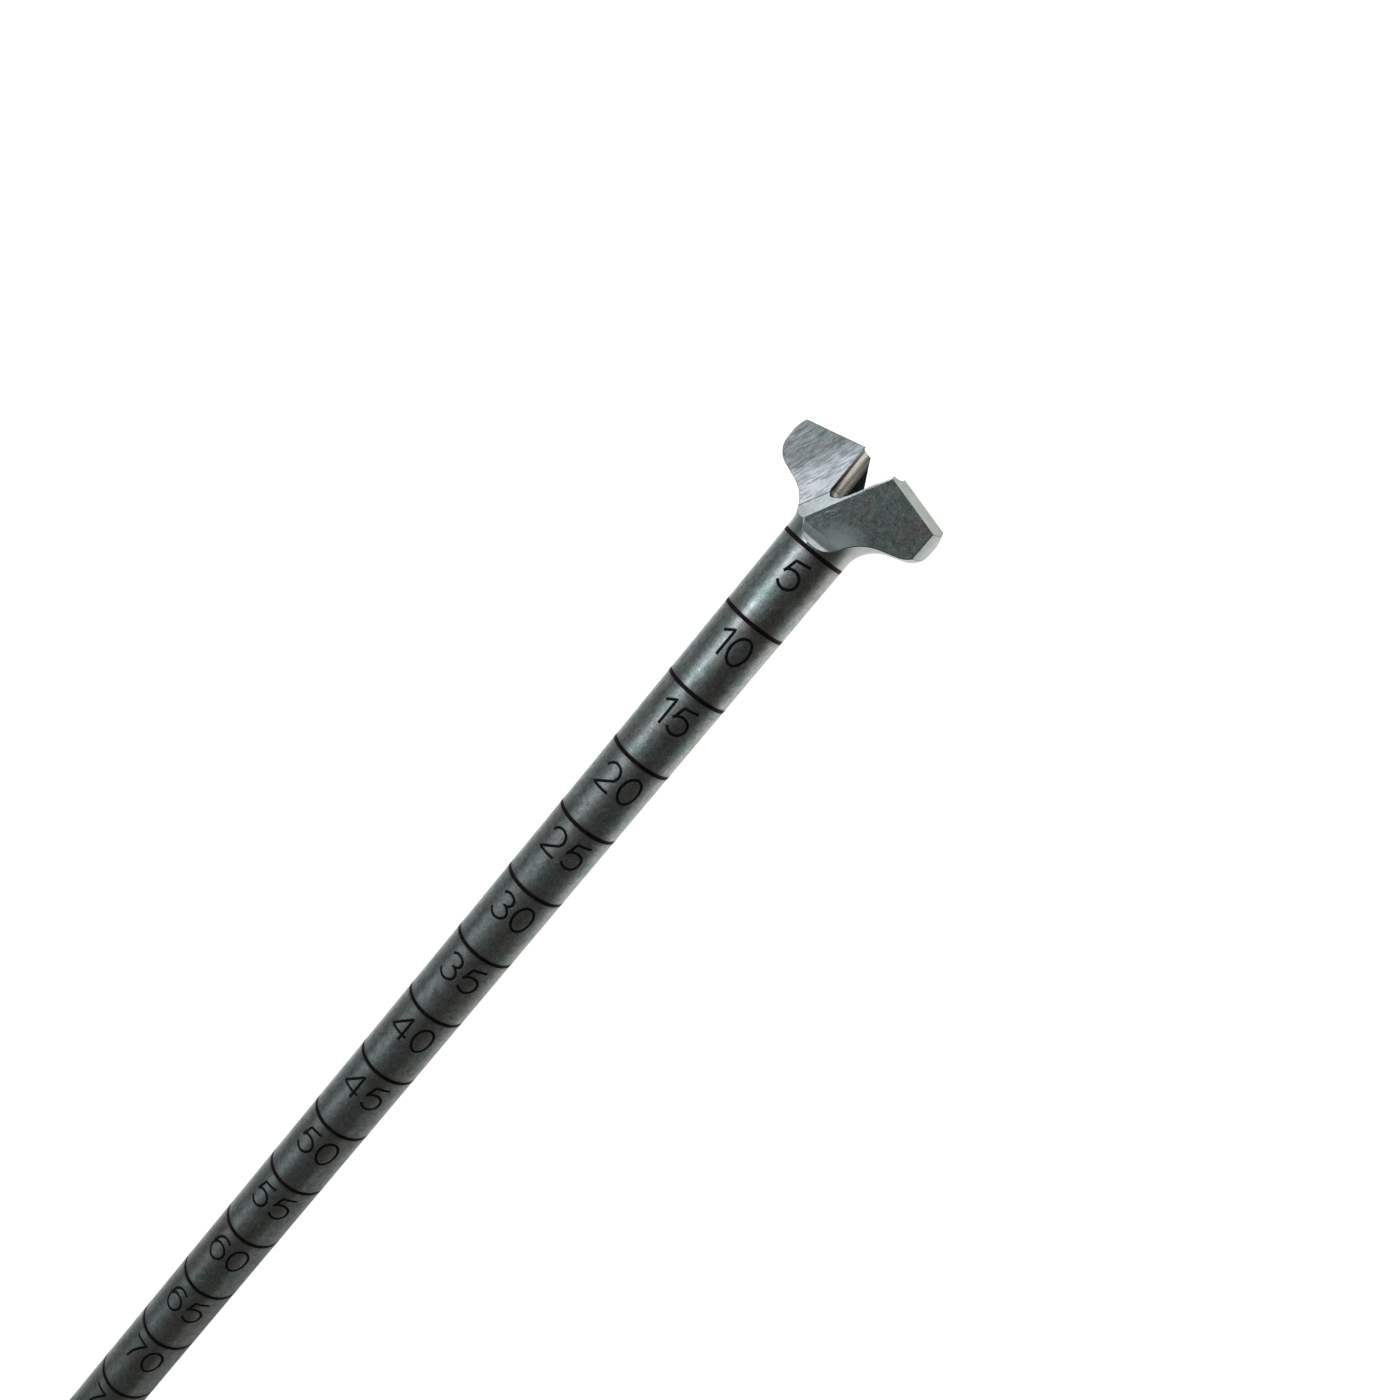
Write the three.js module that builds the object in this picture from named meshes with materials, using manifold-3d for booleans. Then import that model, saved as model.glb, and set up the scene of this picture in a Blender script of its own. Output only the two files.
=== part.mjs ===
// Cannulated headed reamer: a two-winged cutting head on a slim tube, with a chuck shank at the other end.
// Millimetres. The tool lies along X with its head at +X. Z = 0 is the surface it lies on.

import * as THREE from 'three';
import { mergeVertices } from 'three/addons/utils/BufferGeometryUtils.js';
import Module from 'manifold-3d';

const wasm = await Module();
wasm.setup();

// ---- Driving dimensions ----------------------------------------------------------------------

const OVERALL_LENGTH = 216;
const SHAFT_RADIUS = 1.94;
const BORE_RADIUS = 1.25;
const HEAD_RADIUS = 4.95;

// Distances along the head are counted from the zero of the depth scale, positive towards the tip.
const TIP_AHEAD = 0.893;
const WELD_BEHIND = 5;
const WELD_GAP = 0.04;

// Land: the widest stretch of the turned head.
const LAND_FRONT = -0.95;
const LAND_BACK = -1.3;
const FRONT_ROUND = 2.33;
const STOCK_FRONT = 1.3;

// Flare: the back of the head, falling to the shaft.
const SHOULDER_ROUND = 1.2;
const NECK_ROUND = 1.96;
const FLARE_ANGLE = THREE.MathUtils.degToRad(70.6);

// Wings: each has its cutting face a little past the centre plane and its flat back on the other side.
const CUTTING_FACE = 0.239;
const WING_BACK = 1.576;
const LAND_ECCENTRICITY = 0.6;
const RIM_INNER = 2;

// Flat on the wing's back: runs out into the neck with the radius of the milling cutter.
const FLAT_END = -3.9;
const FLAT_END_ROUND = 1.2;

// Front relief of one wing: x = offset + lip slope * y - relief slope * z, with the wing at negative y.
const RELIEF_OFFSET = 1.151;
const LIP_SLOPE = 0.245;
const RELIEF_SLOPE = 0.27;

// Notch wall of the same wing. Its top edge, level with the wing's back, is x = offset - run * y, and below
// that edge the wall comes forward by its lean. The lean falls off where the wall nears the tip.
const WALL_OFFSET = -1.42;
const WALL_RUN = 1.92;
const WALL_LEAN = 1.35;
const WALL_LEAN_LOST = 0.75;
const WALL_TWIST_START = -0.1;
const WALL_TWIST_LENGTH = 0.8;
const WALL_STRIPS = 30;
const WALL_LEVELS = 6;
const WALL_FROM = -1.3;
const WALL_TO = 2.6;
const NOTCH_OUTER = 7;
const NOTCH_TOP = 2.2;

// Mouth of the bore: a little wider than the bore, down to a short cone.
const MOUTH_RADIUS = 1.34;
const MOUTH_END = -1.95;
const MOUTH_CONE = 0.25;

// Chuck shank.
const SHANK_LENGTH = 34;
const SHANK_RADIUS = 3.25;
const SHANK_FLAT = 2.85;
const SHANK_NOSE_RADIUS = 2.25;
const SHANK_NOSE_LENGTH = 3.2;
const SHANK_CHAMFER = 0.5;
const SLEEVE_GAP = 0.04;
const FLAT_COUNT = 3;

const AXIS_HEIGHT = SHANK_FLAT;
const SCALE_ZERO = OVERALL_LENGTH / 2 - TIP_AHEAD;
const TAIL = -OVERALL_LENGTH / 2 - SCALE_ZERO;
const REACH = 20;

const HEAD_SEGMENTS = 96;
const SHAFT_SEGMENTS = 64;
const ARC_STEPS = 8;

// ---- Solids ----------------------------------------------------------------------------------

function toManifold(geometry) {
  const bare = geometry.clone();
  bare.deleteAttribute('normal');
  bare.deleteAttribute('uv');
  const merged = mergeVertices(bare, 1e-5);
  const mesh = new wasm.Mesh({
    numProp: 3,
    vertProperties: new Float32Array(merged.attributes.position.array),
    triVerts: new Uint32Array(merged.index.array),
  });
  return new wasm.Manifold(mesh);
}

function toGeometry(solid) {
  const mesh = solid.getMesh();
  const positions = new Float32Array(mesh.numVert * 3);
  for (let vertex = 0; vertex < mesh.numVert; vertex += 1) {
    for (let axis = 0; axis < 3; axis += 1) {
      positions[vertex * 3 + axis] = mesh.vertProperties[vertex * mesh.numProp + axis];
    }
  }
  const shared = new THREE.BufferGeometry();
  shared.setAttribute('position', new THREE.BufferAttribute(positions, 3));
  shared.setIndex(new THREE.BufferAttribute(new Uint32Array(mesh.triVerts), 1));
  const faceted = shared.toNonIndexed();
  faceted.computeVertexNormals();
  return faceted;
}

// Turns a profile of (distance along the tool, radius) points about the X axis. Both ends lie on the axis.
function turned(profile, segments) {
  const closed = [[profile[0][0], 0], ...profile, [profile.at(-1)[0], 0]];
  const points = closed.map(([along, radius]) => new THREE.Vector2(radius, along));
  const lathe = new THREE.LatheGeometry(points, segments);
  lathe.rotateZ(-Math.PI / 2);
  return toManifold(lathe);
}

function rod(from, to, radius, segments) {
  return turned([[from, radius], [to, radius]], segments);
}

// Points of an arc about (along, radius), with angles counted from the +X direction towards larger radius.
function arc(along, radius, size, startAngle, endAngle) {
  const points = [];
  for (let step = 0; step <= ARC_STEPS; step += 1) {
    const angle = startAngle + ((endAngle - startAngle) * step) / ARC_STEPS;
    points.push([along + size * Math.cos(angle), radius + size * Math.sin(angle)]);
  }
  return points;
}

// Everything on the side of a plane that its normal points to: normal . point > offset.
function halfSpace(normal, offset) {
  const direction = new THREE.Vector3(...normal);
  const distance = offset / direction.length();
  direction.normalize();
  const box = new THREE.BoxGeometry(4 * REACH, 4 * REACH, 4 * REACH);
  box.translate(0, 0, 2 * REACH + distance);
  box.applyQuaternion(new THREE.Quaternion().setFromUnitVectors(new THREE.Vector3(0, 0, 1), direction));
  return toManifold(box);
}

function halfTurn(solid) {
  return solid.rotate([180, 0, 0]);
}

// ---- Cutting head ----------------------------------------------------------------------------

// The concave neck arc and the convex shoulder arc are joined by a straight stretch at the flare angle.
function headProfile() {
  const quarter = Math.PI / 2;
  const shoulderTangent = SHOULDER_ROUND * Math.tan(FLARE_ANGLE / 2);
  const neckTangent = NECK_ROUND * Math.tan(FLARE_ANGLE / 2);
  const shoulderCorner = LAND_BACK - shoulderTangent;
  const neckCorner = shoulderCorner - (HEAD_RADIUS - SHAFT_RADIUS) / Math.tan(FLARE_ANGLE);
  const frontAngle = quarter - Math.asin((STOCK_FRONT - LAND_FRONT) / FRONT_ROUND);
  return [
    [-WELD_BEHIND + WELD_GAP / 2, SHAFT_RADIUS],
    ...arc(neckCorner - neckTangent, SHAFT_RADIUS + NECK_ROUND, NECK_ROUND, -quarter, FLARE_ANGLE - quarter),
    ...arc(LAND_BACK, HEAD_RADIUS - SHOULDER_ROUND, SHOULDER_ROUND, quarter + FLARE_ANGLE, quarter),
    ...arc(LAND_FRONT, HEAD_RADIUS - FRONT_ROUND, FRONT_ROUND, quarter, frontAngle),
  ];
}

// What grinding takes off one wing's rim: outside a cylinder that is off the tool's axis, so that the rim
// falls away behind its cutting edge.
function rimCut() {
  const rim = rod(-REACH, REACH, HEAD_RADIUS, HEAD_SEGMENTS).translate([0, 0, -LAND_ECCENTRICITY]);
  return halfSpace([0, -1, 0], RIM_INNER).subtract(rim);
}

// What the milling cutter takes above one wing's back, with the rounded run-out into the neck.
function backCut() {
  const outline = new THREE.Shape();
  outline.moveTo(REACH, WING_BACK);
  outline.lineTo(REACH, REACH);
  outline.lineTo(FLAT_END - FLAT_END_ROUND, REACH);
  outline.lineTo(FLAT_END - FLAT_END_ROUND, WING_BACK + FLAT_END_ROUND);
  outline.absarc(FLAT_END, WING_BACK + FLAT_END_ROUND, FLAT_END_ROUND, Math.PI, 1.5 * Math.PI, false);
  const prism = new THREE.ExtrudeGeometry(outline, { depth: 2 * REACH, bevelEnabled: false, curveSegments: 10 });
  prism.rotateX(Math.PI / 2);
  prism.translate(0, REACH, 0);
  return toManifold(prism);
}

// Distance along the tool of the notch wall, at one distance across and one height.
function wallAlong(across, height) {
  const twist = THREE.MathUtils.clamp((WALL_TWIST_START - across) / WALL_TWIST_LENGTH, 0, 1);
  const lean = WALL_LEAN - WALL_LEAN_LOST * twist;
  return WALL_OFFSET - WALL_RUN * across + lean * (WING_BACK - height);
}

// The notch is a unit box in strips, with its low X side drawn onto the twisted wall. The last strip also
// takes in everything above the other wing's cutting face.
function notch() {
  const box = new THREE.BoxGeometry(1, 1, 1, 1, WALL_STRIPS, WALL_LEVELS);
  const corner = box.attributes.position;
  for (let index = 0; index < corner.count; index += 1) {
    const outermost = corner.getY(index) > 0.5 - 0.5 / WALL_STRIPS;
    const onWall = THREE.MathUtils.lerp(WALL_FROM, WALL_TO, corner.getY(index) + 0.5);
    const across = outermost ? NOTCH_OUTER : onWall;
    const height = THREE.MathUtils.lerp(CUTTING_FACE, NOTCH_TOP, corner.getZ(index) + 0.5);
    const along = corner.getX(index) > 0 ? REACH : wallAlong(across, height);
    corner.setXYZ(index, along, across, height);
  }
  return toManifold(box);
}

function headBore() {
  return turned([
    [-REACH, BORE_RADIUS],
    [MOUTH_END - MOUTH_CONE, BORE_RADIUS],
    [MOUTH_END, MOUTH_RADIUS],
    [REACH, MOUTH_RADIUS],
  ], SHAFT_SEGMENTS);
}

function cutterHead() {
  let head = turned(headProfile(), HEAD_SEGMENTS);
  const frontRelief = halfSpace([1, -LIP_SLOPE, RELIEF_SLOPE], RELIEF_OFFSET);
  for (const cut of [frontRelief, notch(), backCut(), rimCut()]) {
    head = head.subtract(cut).subtract(halfTurn(cut));
  }
  return head.subtract(headBore());
}

// ---- Shaft and shank -------------------------------------------------------------------------

function graduatedShaft() {
  const front = -WELD_BEHIND - WELD_GAP / 2;
  const outside = rod(TAIL, front, SHAFT_RADIUS, SHAFT_SEGMENTS);
  return outside.subtract(rod(TAIL - 1, front + 1, BORE_RADIUS, SHAFT_SEGMENTS));
}

function driveShank() {
  const front = TAIL + SHANK_LENGTH;
  let shank = turned([
    [TAIL, SHANK_RADIUS - SHANK_CHAMFER],
    [TAIL + SHANK_CHAMFER, SHANK_RADIUS],
    [front - SHANK_NOSE_LENGTH, SHANK_RADIUS],
    [front, SHANK_NOSE_RADIUS],
  ], SHAFT_SEGMENTS);
  for (let index = 0; index < FLAT_COUNT; index += 1) {
    const turn = (2 * Math.PI * index) / FLAT_COUNT - Math.PI / 2;
    const outside = halfSpace([0, Math.cos(turn), Math.sin(turn)], SHANK_FLAT);
    shank = shank.subtract(outside.translate([TAIL, 0, 0]));
  }
  return shank.subtract(rod(TAIL - 1, front + 1, SHAFT_RADIUS + SLEEVE_GAP, SHAFT_SEGMENTS));
}

// ---- Assembly --------------------------------------------------------------------------------

const headSteel = new THREE.MeshStandardMaterial({ color: 0x7f8686, roughness: 0.42, metalness: 1 });
const shaftSteel = new THREE.MeshStandardMaterial({ color: 0x757a79, roughness: 0.38, metalness: 1 });
const shankSteel = new THREE.MeshStandardMaterial({ color: 0x8b9090, roughness: 0.32, metalness: 1 });

function piece(name, solid, material) {
  const mesh = new THREE.Mesh(toGeometry(solid), material);
  mesh.name = name;
  return mesh;
}

const group = new THREE.Group();
group.name = 'cannulated_headed_reamer';
const tool = new THREE.Group();
tool.position.set(SCALE_ZERO, 0, AXIS_HEIGHT);
tool.add(piece('cutter_head', cutterHead(), headSteel));
tool.add(piece('graduated_shaft', graduatedShaft(), shaftSteel));
tool.add(piece('drive_shank', driveShank(), shankSteel));
group.add(tool);

export default group;
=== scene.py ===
import math

import bpy
from mathutils import Matrix, Vector


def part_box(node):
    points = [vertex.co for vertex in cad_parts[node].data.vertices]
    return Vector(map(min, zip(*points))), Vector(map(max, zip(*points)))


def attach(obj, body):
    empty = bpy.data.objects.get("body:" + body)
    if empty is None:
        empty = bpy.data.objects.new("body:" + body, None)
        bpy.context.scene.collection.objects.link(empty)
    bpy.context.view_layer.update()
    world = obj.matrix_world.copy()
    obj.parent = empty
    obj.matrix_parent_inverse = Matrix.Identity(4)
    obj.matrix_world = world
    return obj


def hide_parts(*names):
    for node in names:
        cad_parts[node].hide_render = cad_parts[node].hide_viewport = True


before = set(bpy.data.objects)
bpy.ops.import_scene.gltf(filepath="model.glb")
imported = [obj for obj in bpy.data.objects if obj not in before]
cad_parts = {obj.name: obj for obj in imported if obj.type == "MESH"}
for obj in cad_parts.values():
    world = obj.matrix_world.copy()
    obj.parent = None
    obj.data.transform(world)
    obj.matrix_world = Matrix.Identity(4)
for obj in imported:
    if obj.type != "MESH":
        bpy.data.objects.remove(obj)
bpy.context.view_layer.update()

# Cannulated headed reamer. Pieces are drawn on the bench in millimetres, with the tool's axis along X and
# the zero of its depth scale at the origin, and settle() brings each one to its place in metres.

HEAD_LOW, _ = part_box("cutter_head")
TUBE_LOW, TUBE_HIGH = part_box("graduated_shaft")
SHANK_LOW, SHANK_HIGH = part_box("drive_shank")

MM = 0.001
WELD_SEAM = -5.0
WELD_GAP = 0.04
NECK_END = WELD_SEAM + WELD_GAP / 2
SCALE_ZERO = Vector((HEAD_LOW.x - NECK_END * MM, 0, (TUBE_LOW.z + TUBE_HIGH.z) / 2))

SHAFT_RADIUS = (TUBE_HIGH.z - TUBE_LOW.z) / 2 / MM
BORE_RADIUS = 1.25
TAIL = (TUBE_LOW.x - SCALE_ZERO.x) / MM
SHANK_FRONT = (SHANK_HIGH.x - SCALE_ZERO.x) / MM

HEAD_RADIUS = 4.95
CUTTING_FACE = 0.239
WING_BACK = 1.576
FLAT_END = -3.9

WALL_TOP = -1.42
WALL_RUN = 1.92
WALL_LEAN = 1.35
WALL_FOOT = WALL_TOP + WALL_LEAN * (WING_BACK - CUTTING_FACE)

PITCH = 5
LAST_MARK = 110

REACH = 20.0
ROUND_SIDES = 160
TUBE_SIDES = 128


# ---- Bench work --------------------------------------------------------------------------------


def clear_selection():
    if bpy.context.mode != "OBJECT":
        bpy.ops.object.mode_set(mode="OBJECT")
    bpy.ops.object.select_all(action="DESELECT")


def pick(piece):
    clear_selection()
    piece.select_set(True)
    bpy.context.view_layer.objects.active = piece


def named(name):
    piece = bpy.context.object
    piece.name = name
    piece.data.name = name
    return piece


def apply_all(piece):
    pick(piece)
    for modifier in list(piece.modifiers):
        bpy.ops.object.modifier_apply(modifier=modifier.name)


SAME_POINT = 1e-4


def turn_piece(name, profile, sides=ROUND_SIDES, closed_ring=False):
    """Turns a profile of (along, radius) points about the X axis, by extruding a ring and scaling it."""
    clear_selection()
    along, radius = profile[0]
    bpy.ops.mesh.primitive_circle_add(
        vertices=sides, radius=radius, location=(along, 0, 0), rotation=(0, math.pi / 2, 0)
    )
    piece = named(name)
    bpy.ops.object.transform_apply(location=True, rotation=True, scale=True)
    bpy.ops.object.mode_set(mode="EDIT")
    bpy.ops.mesh.select_all(action="SELECT")
    if not closed_ring:
        bpy.ops.mesh.edge_face_add()
        bpy.ops.mesh.select_all(action="SELECT")
    for next_along, next_radius in profile[1:]:
        step = (next_along - along, 0, 0)
        bpy.ops.mesh.extrude_region_move(TRANSFORM_OT_translate={"value": step})
        grow = next_radius / radius
        bpy.ops.transform.resize(value=(1, grow, grow), center_override=(next_along, 0, 0))
        along, radius = next_along, next_radius
    bpy.ops.mesh.select_all(action="SELECT")
    if closed_ring:
        bpy.ops.mesh.remove_doubles(threshold=SAME_POINT)
    bpy.ops.mesh.normals_make_consistent(inside=False)
    bpy.ops.object.mode_set(mode="OBJECT")
    return piece


def arc(along, radius, size, start, end, steps=12):
    """Profile points of an arc about (along, radius). Angles run from +X towards larger radius."""
    turns = [start + (end - start) * step / steps for step in range(steps + 1)]
    return [(along + size * math.cos(turn), radius + size * math.sin(turn)) for turn in turns]


ORDER_FROM = (31.7, 13.3, 7.9)


def put_in_order(piece):
    """Numbers a mesh's points, edges and faces by their distance from a place off the axis, so that
    every run cleans and smooths them in the same order."""
    pick(piece)
    bpy.context.scene.cursor.location = ORDER_FROM
    bpy.ops.object.mode_set(mode="EDIT")
    bpy.ops.mesh.select_all(action="SELECT")
    bpy.ops.mesh.sort_elements(type="CURSOR_DISTANCE", elements={"VERT", "EDGE", "FACE"})
    bpy.ops.object.mode_set(mode="OBJECT")


def cut_away(piece, tool):
    """Takes the tool's solid off the piece, and throws the tool away."""
    cut = piece.modifiers.new("cut", "BOOLEAN")
    cut.operation = "DIFFERENCE"
    cut.solver = "EXACT"
    cut.object = tool
    apply_all(piece)
    bpy.data.objects.remove(tool)
    put_in_order(piece)


def half_turned(tool):
    """A second copy of a cutting tool, half a turn round the axis, for the other wing."""
    pick(tool)
    bpy.ops.object.duplicate()
    other = bpy.context.object
    other.data.transform(Matrix.Rotation(math.pi, 4, "X"))
    return other


def bisect_off(piece, point, normal):
    """Saws off everything that lies beyond a plane, and closes the cut."""
    pick(piece)
    bpy.ops.object.mode_set(mode="EDIT")
    bpy.ops.mesh.select_all(action="SELECT")
    bpy.ops.mesh.bisect(
        plane_co=point, plane_no=normal, use_fill=True, clear_outer=True, threshold=1e-5
    )
    bpy.ops.object.mode_set(mode="OBJECT")


MERGE_WITHIN = 0.006
SLIVER = 0.003
NEARLY_FLAT = math.radians(0.6)


def break_edges(piece, width, steps=2, sharper_than=25, finish=-1):
    """Cleans the faces that cutting left, then rounds every sharp edge by a small radius."""
    pick(piece)
    bpy.ops.object.mode_set(mode="EDIT")
    bpy.ops.mesh.select_all(action="SELECT")
    bpy.ops.mesh.remove_doubles(threshold=MERGE_WITHIN)
    bpy.ops.mesh.dissolve_degenerate(threshold=SLIVER)
    bpy.ops.mesh.select_all(action="SELECT")
    bpy.ops.mesh.dissolve_limited(angle_limit=NEARLY_FLAT)
    bpy.ops.mesh.select_all(action="SELECT")
    bpy.ops.mesh.normals_make_consistent(inside=False)
    bpy.ops.object.mode_set(mode="OBJECT")
    rounding = piece.modifiers.new("edges", "BEVEL")
    rounding.width = width
    rounding.segments = steps
    rounding.limit_method = "ANGLE"
    rounding.angle_limit = math.radians(sharper_than)
    rounding.use_clamp_overlap = False
    rounding.loop_slide = False
    rounding.material = finish
    apply_all(piece)


def settle(piece, materials=(), stands_for=None, smooth=12):
    """Brings a finished piece to its place, in metres, and gives it its finish."""
    put_in_order(piece)
    bpy.ops.object.shade_smooth_by_angle(angle=math.radians(smooth))
    apply_all(piece)
    piece.data.transform(Matrix.Translation(SCALE_ZERO) @ Matrix.Scale(MM, 4))
    piece.matrix_world = Matrix.Identity(4)
    for material in materials:
        piece.data.materials.append(material)
    if stands_for:
        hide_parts(stands_for)
    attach(piece, "root")
    return piece


# ---- Finishes ----------------------------------------------------------------------------------


class Sheet:
    """A shader node sheet, with short calls to add nodes and join them."""

    def __init__(self, tree):
        self.tree = tree

    def add(self, kind, **settings):
        node = self.tree.nodes.new(kind)
        for name, value in settings.items():
            setattr(node, name, value)
        return node

    def join(self, source, target):
        self.tree.links.new(source, target)

    def feed(self, socket, value):
        if isinstance(value, bpy.types.NodeSocket):
            self.join(value, socket)
        elif value is not None:
            socket.default_value = value

    def math(self, operation, first, second=None, third=None, clamp=False):
        node = self.add("ShaderNodeMath", operation=operation, use_clamp=clamp)
        for socket, value in zip(node.inputs, (first, second, third)):
            self.feed(socket, value)
        return node.outputs[0]

    def noise(self, vector, scale, detail=3.0, rough=0.55, stretch=None):
        if stretch:
            mapping = self.add("ShaderNodeMapping")
            self.join(vector, mapping.inputs["Vector"])
            mapping.inputs["Scale"].default_value = stretch
            vector = mapping.outputs[0]
        node = self.add("ShaderNodeTexNoise")
        self.join(vector, node.inputs["Vector"])
        self.feed(node.inputs["Scale"], scale)
        node.inputs["Detail"].default_value = detail
        node.inputs["Roughness"].default_value = rough
        return node.outputs["Fac"]

    def span(self, value, low, high, to_low=0.0, to_high=1.0):
        node = self.add("ShaderNodeMapRange")
        node.interpolation_type = "SMOOTHSTEP"
        for socket, number in zip(node.inputs, (value, low, high, to_low, to_high)):
            self.feed(socket, number)
        return node.outputs["Result"]

    def blend(self, factor, first, second, kind="MIX"):
        node = self.add("ShaderNodeMix", data_type="RGBA", blend_type=kind)
        self.feed(node.inputs["Factor"], factor)
        self.feed(node.inputs["A"], first)
        self.feed(node.inputs["B"], second)
        return node.outputs["Result"]


def new_group(name, inputs, outputs):
    group = bpy.data.node_groups.new(name, "ShaderNodeTree")
    for label, kind, value in inputs:
        socket = group.interface.new_socket(name=label, in_out="INPUT", socket_type=kind)
        if value is not None:
            socket.default_value = value
    for label, kind in outputs:
        group.interface.new_socket(name=label, in_out="OUTPUT", socket_type=kind)
    sheet = Sheet(group)
    return group, sheet, sheet.add("NodeGroupInput"), sheet.add("NodeGroupOutput")


CLOUD_SCALE = 420.0
PATCH_SCALE = 900.0
SPECK_SCALE = 13000.0
DIMPLE_SCALE = 3200.0
SPARK_SCALE = 6800.0
FLECK_DEPTH = 0.22
BLOTCH_DEPTH = 0.16
SPARK_LIGHT = 0.55
DULL_PATCHES = 0.22
DULL_SPECKS = 0.18


def tumbled_steel_group():
    """Colour, roughness and height of tumbled stainless steel: cloudy stains, fine pits and short marks."""
    group, sheet, given, made = new_group(
        "tumbled_steel",
        [
            ("Position", "NodeSocketVector", None),
            ("Steel", "NodeSocketColor", (0.42, 0.43, 0.42, 1)),
            ("Warm stain", "NodeSocketColor", (0.40, 0.36, 0.32, 1)),
            ("Green stain", "NodeSocketColor", (0.33, 0.38, 0.35, 1)),
            ("Stain", "NodeSocketFloat", 0.5),
            ("Roughness", "NodeSocketFloat", 0.35),
            ("Pitting", "NodeSocketFloat", 0.5),
        ],
        [
            ("Color", "NodeSocketColor"),
            ("Roughness", "NodeSocketFloat"),
            ("Height", "NodeSocketFloat"),
        ],
    )
    place = given.outputs["Position"]
    cloud = sheet.noise(place, CLOUD_SCALE, detail=4.0)
    patch = sheet.noise(place, PATCH_SCALE, detail=3.0)
    warm = sheet.math("MULTIPLY", sheet.span(cloud, 0.48, 0.66), given.outputs["Stain"])
    green = sheet.math("MULTIPLY", sheet.span(patch, 0.5, 0.68), given.outputs["Stain"])
    colour = sheet.blend(warm, given.outputs["Steel"], given.outputs["Warm stain"])
    colour = sheet.blend(green, colour, given.outputs["Green stain"])
    speck = sheet.noise(place, SPECK_SCALE, detail=2.0, rough=0.6)
    fleck = sheet.span(speck, 0.30, 0.70, -FLECK_DEPTH, FLECK_DEPTH)
    dimple = sheet.noise(place, DIMPLE_SCALE, detail=4.0, rough=0.65)
    blotch = sheet.span(dimple, 0.32, 0.68, -BLOTCH_DEPTH, BLOTCH_DEPTH)
    spark = sheet.span(sheet.noise(place, SPARK_SCALE, detail=1.0), 0.67, 0.76, 0.0, SPARK_LIGHT)
    uneven = sheet.math("ADD", sheet.math("ADD", fleck, blotch), spark)
    shade = sheet.math("MULTIPLY_ADD", uneven, given.outputs["Pitting"], 1.0)
    grey = sheet.add("ShaderNodeCombineColor")
    for channel in grey.inputs:
        sheet.feed(channel, shade)
    sheet.join(sheet.blend(1.0, colour, grey.outputs[0], "MULTIPLY"), made.inputs["Color"])
    cloudy = sheet.math("SUBTRACT", patch, 0.5)
    drift = sheet.math("MULTIPLY_ADD", cloudy, DULL_PATCHES, given.outputs["Roughness"])
    fine = sheet.math("MULTIPLY_ADD", sheet.math("SUBTRACT", speck, 0.5), DULL_SPECKS, drift, clamp=True)
    sheet.join(fine, made.inputs["Roughness"])
    height = sheet.math("ADD", sheet.math("MULTIPLY", speck, 0.9), sheet.math("MULTIPLY", dimple, 0.8))
    sheet.join(sheet.math("MULTIPLY", height, given.outputs["Pitting"]), made.inputs["Height"])
    return group


WAVER_SCALE = 900.0
WAVER_WIDTH = 0.00016
BROAD_LINES = 4200.0
THIN_LINES = 11000.0


def grinding_lines_group():
    """Height and tone of straight grinding lines, which run along the given position's X."""
    group, sheet, given, made = new_group(
        "grinding_lines",
        [("Position", "NodeSocketVector", None), ("Strength", "NodeSocketFloat", 0.5)],
        [("Tone", "NodeSocketFloat"), ("Height", "NodeSocketFloat")],
    )
    place = given.outputs["Position"]
    waver = sheet.noise(place, WAVER_SCALE, detail=1.0)
    bent = sheet.add("ShaderNodeCombineXYZ")
    sheet.join(sheet.math("MULTIPLY", waver, WAVER_WIDTH), bent.inputs["Y"])
    drift = sheet.add("ShaderNodeVectorMath", operation="ADD")
    sheet.join(place, drift.inputs[0])
    sheet.join(bent.outputs[0], drift.inputs[1])
    path = drift.outputs["Vector"]
    broad = sheet.noise(path, BROAD_LINES, detail=4.0, rough=0.7, stretch=(0.22, 1.0, 1.0))
    thin = sheet.noise(path, THIN_LINES, detail=2.0, rough=0.6, stretch=(0.12, 1.0, 1.0))
    mixed = sheet.math("ADD", sheet.math("MULTIPLY", broad, 0.5), sheet.math("MULTIPLY", thin, 0.5))
    tone = sheet.span(mixed, 0.38, 0.62, -1.0, 1.0)
    sheet.join(sheet.math("MULTIPLY", tone, given.outputs["Strength"]), made.inputs["Tone"])
    sheet.join(sheet.math("MULTIPLY", mixed, given.outputs["Strength"]), made.inputs["Height"])
    return group


TUMBLED = tumbled_steel_group()
GRINDING = grinding_lines_group()
PIT_DEPTH = 0.00001


def new_material(name):
    material = bpy.data.materials.new(name)
    material.use_nodes = True
    sheet = Sheet(material.node_tree)
    shader = material.node_tree.nodes["Principled BSDF"]
    shader.inputs["Metallic"].default_value = 1.0
    position = sheet.add("ShaderNodeTexCoord").outputs["Object"]
    return material, sheet, shader, position


ROOT_RISE = 80.0
ROOT_DULLNESS = 0.3
# Painted highlight: the foot of the cutting face by the notch wall is coloured near white, standing in for
# light it reflects.
ROOT_PAINTED_HIGHLIGHT = (0.97, 0.98, 1.0, 1)


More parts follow.
